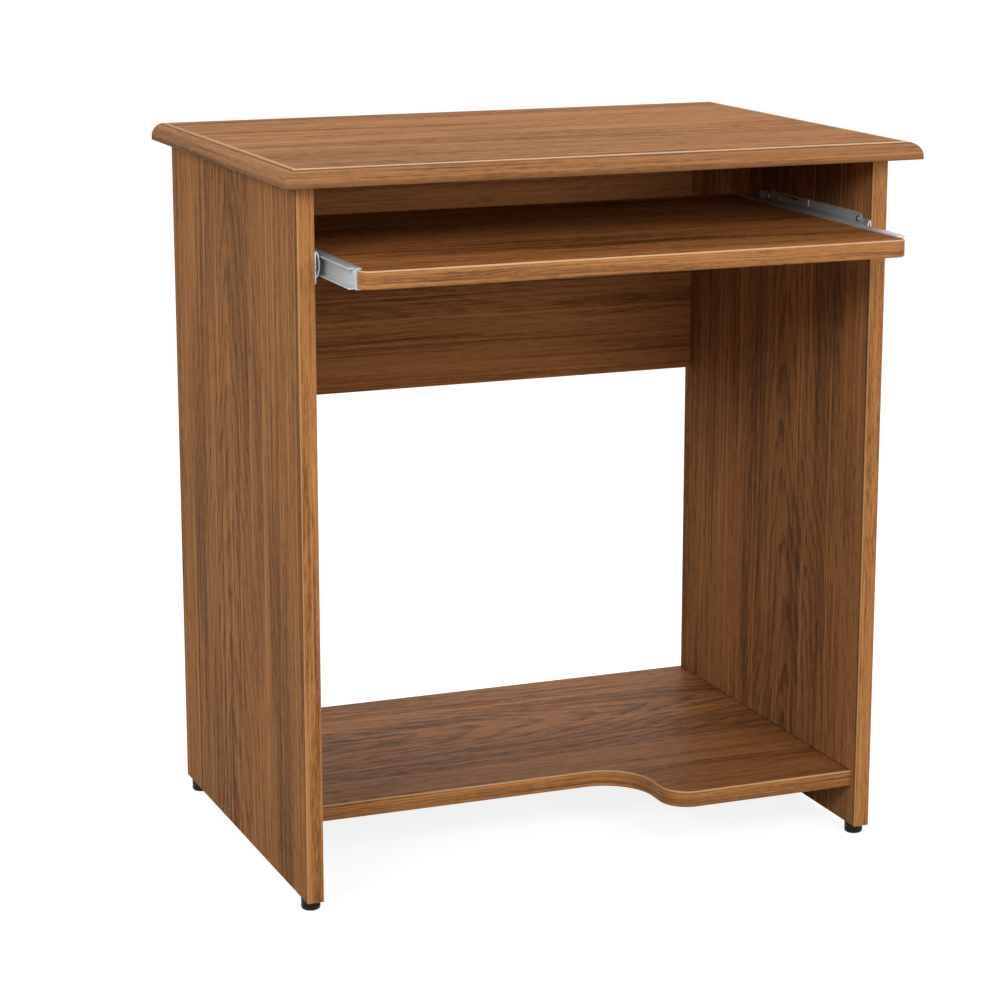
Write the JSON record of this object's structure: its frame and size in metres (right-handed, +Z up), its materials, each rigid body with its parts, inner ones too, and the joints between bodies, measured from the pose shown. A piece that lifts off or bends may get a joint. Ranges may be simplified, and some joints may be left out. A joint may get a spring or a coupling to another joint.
{
  "type": "computer desk",
  "caption": "Walnut-finish computer desk with a keyboard tray on metal ball slides, a half-height back panel and a low shelf with a curved foot cut-out.",
  "frame": {"origin": "on the floor, in the middle of the footprint with the tray drawn out as pictured", "axes": "+X to the right of a person sitting at the desk, +Y to the rear, +Z up"},
  "size_m": [0.694, 0.5532, 0.767],
  "materials": {
    "top_laminate": "satin walnut laminate, grain across the desk",
    "side_laminate": "satin walnut laminate, grain upright",
    "back_laminate": "satin walnut laminate, grain across the desk",
    "shelf_laminate": "satin walnut laminate, grain across the desk",
    "tray_laminate": "satin walnut laminate, grain across the desk",
    "front_moulding": "satin foil-wrapped moulding, grain across the desk",
    "side_moulding": "satin foil-wrapped moulding, grain front to rear",
    "upright_band": "satin wood-print edge band, grain upright",
    "cross_band": "satin wood-print edge band, grain along the edge",
    "slide_steel": "zinc-plated sheet steel",
    "cage_steel": "plain rolled strip",
    "ball_steel": "polished",
    "screw_steel": "zinc-plated",
    "cam_alloy": "die-cast, dull",
    "dowel_beech": "plain turned beech",
    "foot_plastic": "moulded, dull black",
    "cap_plastic": "moulded, satin brown"
  },
  "bodies": {
    "desk": {"left_side_panel": "side_laminate", "right_side_panel": "side_laminate", "left_side_front_edge_band": "upright_band", "right_side_front_edge_band": "upright_band", "left_side_rear_edge_band": "upright_band", "right_side_rear_edge_band": "upright_band", "top_board": "top_laminate", "top_front_moulding": "front_moulding", "top_left_moulding": "side_moulding", "top_right_moulding": "side_moulding", "top_rear_edge_band": "cross_band", "shelf_rear_edge_band": "cross_band", "back_panel_bottom_edge_band": "cross_band", "shelf_front_edge_band": "cross_band", "back_panel": "back_laminate", "lower_shelf": "shelf_laminate", "left_slide_rail": "slide_steel", "right_slide_rail": "slide_steel", "left_rail_screws": "screw_steel", "right_rail_screws": "screw_steel", "foot_screws": "screw_steel", "shelf_cam_bolts": "screw_steel", "back_panel_cam_bolts": "screw_steel", "side_cam_bolts": "screw_steel", "shelf_cam_locks": "cam_alloy", "back_panel_cam_locks": "cam_alloy", "side_cam_locks": "cam_alloy", "shelf_dowels": "dowel_beech", "back_panel_dowels": "dowel_beech", "top_dowels": "dowel_beech", "front_left_foot": "foot_plastic", "front_right_foot": "foot_plastic", "rear_left_foot": "foot_plastic", "rear_right_foot": "foot_plastic", "cam_cover_caps": "cap_plastic"},
    "tray": {"keyboard_tray": "tray_laminate", "tray_edge_band": "cross_band", "left_tray_channel": "slide_steel", "right_tray_channel": "slide_steel", "left_channel_screws": "screw_steel", "right_channel_screws": "screw_steel"},
    "left_cage": {"left_ball_cage": "cage_steel", "left_slide_balls": "ball_steel"},
    "right_cage": {"right_ball_cage": "cage_steel", "right_slide_balls": "ball_steel"}
  },
  "joints": [
    {"name": "tray_slide", "type": "slide", "parent": "desk", "child": "tray", "axis": [0, -1, 0], "range_m": [-0.102, 0.138]},
    {"name": "left_cage_slide", "type": "slide", "parent": "desk", "child": "left_cage", "axis": [0, -1, 0], "range_m": [-0.051, 0.069]},
    {"name": "right_cage_slide", "type": "slide", "parent": "desk", "child": "right_cage", "axis": [0, -1, 0], "range_m": [-0.051, 0.069]}
  ],
  "couplings": [
    {"joint": "left_cage_slide", "follows": "tray_slide", "ratio": 0.5},
    {"joint": "right_cage_slide", "follows": "tray_slide", "ratio": 0.5}
  ]
}
